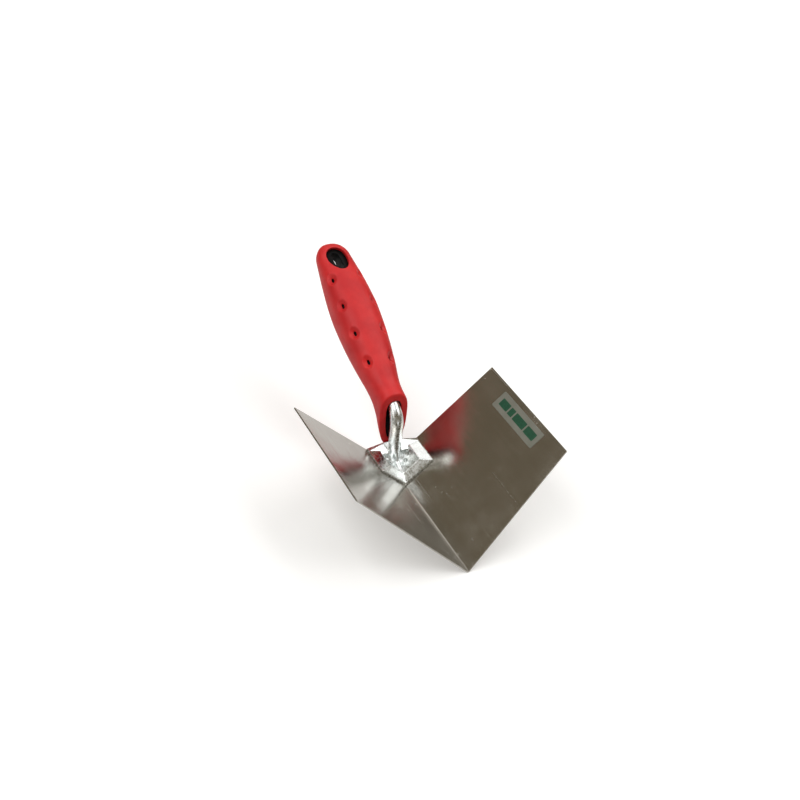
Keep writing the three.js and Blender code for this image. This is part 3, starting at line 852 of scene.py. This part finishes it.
def floor_paper():
    """White studio paper with painted light: though no lamp, it glows weakly near the trowel, lifting
    its shade, and glows to full white far away. It throws back less light than it shows.
    """
    m = Nodes("floor_paper")
    grain = m.noise(700, detail=3)
    colour = m.blend(m.noise(6, detail=2), (0.84, 0.84, 0.84), (0.87, 0.87, 0.865))
    m.set(base_color=colour, roughness=0.75, normal=m.bump(grain, 0.02, 0.3))
    distance = m.tree.nodes.new("ShaderNodeVectorMath")
    distance.operation = "LENGTH"
    m.link(m.place, distance.inputs[0])
    # Painted light: emission that lifts the floor's shade near the trowel and makes it white further
    # out.
    painted_glow = m.ranged(distance.outputs["Value"], GLOW_FROM, GLOW_TO, FLOOR_GLOW, FAR_GLOW)
    m.set(emission_color=(1, 1, 1), emission_strength=painted_glow)
    dark = m.tree.nodes.new("ShaderNodeBsdfDiffuse")
    dark.inputs["Color"].default_value = (FLOOR_BOUNCE, FLOOR_BOUNCE, FLOOR_BOUNCE, 1)
    mix = m.tree.nodes.new("ShaderNodeMixShader")
    path = m.tree.nodes.new("ShaderNodeLightPath")
    glossy = m.maths("MULTIPLY", path.outputs["Is Glossy Ray"], GLOSSY_BOUNCE_SHARE)
    m.link(m.maths("MAXIMUM", path.outputs["Is Diffuse Ray"], glossy), mix.inputs["Fac"])
    m.link(m.shader.outputs["BSDF"], mix.inputs[1])
    m.link(dark.outputs["BSDF"], mix.inputs[2])
    m.link(mix.outputs["Shader"], m.tree.nodes["Material Output"].inputs["Surface"])
    return m.material


def make_floor():
    mesh = bpy.data.meshes.new("floor")
    half, z = FLOOR_HALF, CAD_LOW.z
    corners = [(-half, -half, z), (half, -half, z), (half, half, z), (-half, half, z)]
    mesh.from_pydata(corners, [], [(0, 1, 2, 3)])
    floor = bpy.data.objects.new("floor", mesh)
    bpy.context.scene.collection.objects.link(floor)
    mesh.materials.append(floor_paper())


def softbox(name, position, target, size, radiance):
    """An area light of that width and height in metres, facing target."""
    light = bpy.data.lights.new(name, "AREA")
    light.shape = "RECTANGLE"
    light.size, light.size_y = size
    light.energy = radiance * math.pi * size[0] * size[1]
    lamp = bpy.data.objects.new(name, light)
    lamp.location = position
    lamp.rotation_mode = "QUATERNION"
    lamp.rotation_quaternion = (Vector(target) - Vector(position)).to_track_quat("-Z", "Y")
    bpy.context.scene.collection.objects.link(lamp)


def make_world():
    """A dim warm-grey room with a bright ceiling; the camera itself sees plain white."""
    world = bpy.data.worlds.new("studio")
    bpy.context.scene.world = world
    world.use_nodes = True
    tree = world.node_tree
    background = tree.nodes["Background"]
    direction = tree.nodes.new("ShaderNodeTexCoord").outputs["Generated"]
    split = tree.nodes.new("ShaderNodeSeparateXYZ")
    tree.links.new(direction, split.inputs["Vector"])
    ramp = tree.nodes.new("ShaderNodeValToRGB")
    tree.links.new(split.outputs["Z"], ramp.inputs["Fac"])
    stops = ramp.color_ramp.elements
    stops[0].position, stops[0].color = 0.0, (0.165, 0.135, 0.09, 1)
    stops[1].position, stops[1].color = 0.95, (0.6, 0.6, 0.59, 1)
    middle = stops.new(0.60)
    middle.color = (0.18, 0.15, 0.105, 1)
    upper = stops.new(0.72)
    upper.color = (0.25, 0.23, 0.2, 1)
    seen = tree.nodes.new("ShaderNodeLightPath").outputs["Is Camera Ray"]
    mix = tree.nodes.new("ShaderNodeMix")
    mix.data_type = "RGBA"
    tree.links.new(seen, mix.inputs["Factor"])
    tree.links.new(ramp.outputs["Color"], mix.inputs[6])
    mix.inputs[7].default_value = (1, 1, 1, 1)
    tree.links.new(mix.outputs[2], background.inputs["Color"])


def make_lights():
    softbox("top_left", (0.15, -0.9, 1.5), (0.15, -0.9, 0), (2.0, 1.1), 2.1)
    softbox("top_right", (0.15, 1.05, 1.5), (0.15, 1.05, 0), (2.0, 1.0), 2.1)
    softbox("behind", (-0.94, 0.30, 0.86), (0, 0, 0), (0.5, 0.4), 1.5)
    softbox("right", (0.95, 0.9, 1.15), (0, 0, 0.03), (0.8, 0.8), 2.2)
    softbox("left", (0.3, -1.6, 0.8), (0, 0, 0.05), (0.8, 0.8), 1.9)


def make_camera():
    """The camera by its place from the front tip of the bend, and its three axes."""
    camera = bpy.data.cameras.new("camera")
    camera.sensor_width = 36.0
    camera.lens = 36.0 * 1385.169 / 800
    holder = bpy.data.objects.new("camera", camera)
    right = Vector((0.42405916, 0.90238101, 0.07669646))
    down = Vector((0.54721822, -0.18783204, -0.81564168))
    forward = Vector((-0.72161351, 0.38785002, -0.57345122))
    place = Matrix((right, -down, -forward)).transposed().to_4x4()
    place.translation = Vector((CAD_HIGH.x + 0.464991, -0.300594, CAD_LOW.z + 0.493582))
    holder.matrix_world = place
    bpy.context.scene.collection.objects.link(holder)
    bpy.context.scene.camera = holder


make_blade()
make_rivets()
make_shank()
make_core()
make_grip()
make_label()
make_floor()
make_world()
make_lights()
make_camera()
bpy.context.scene.view_settings.view_transform = "Standard"
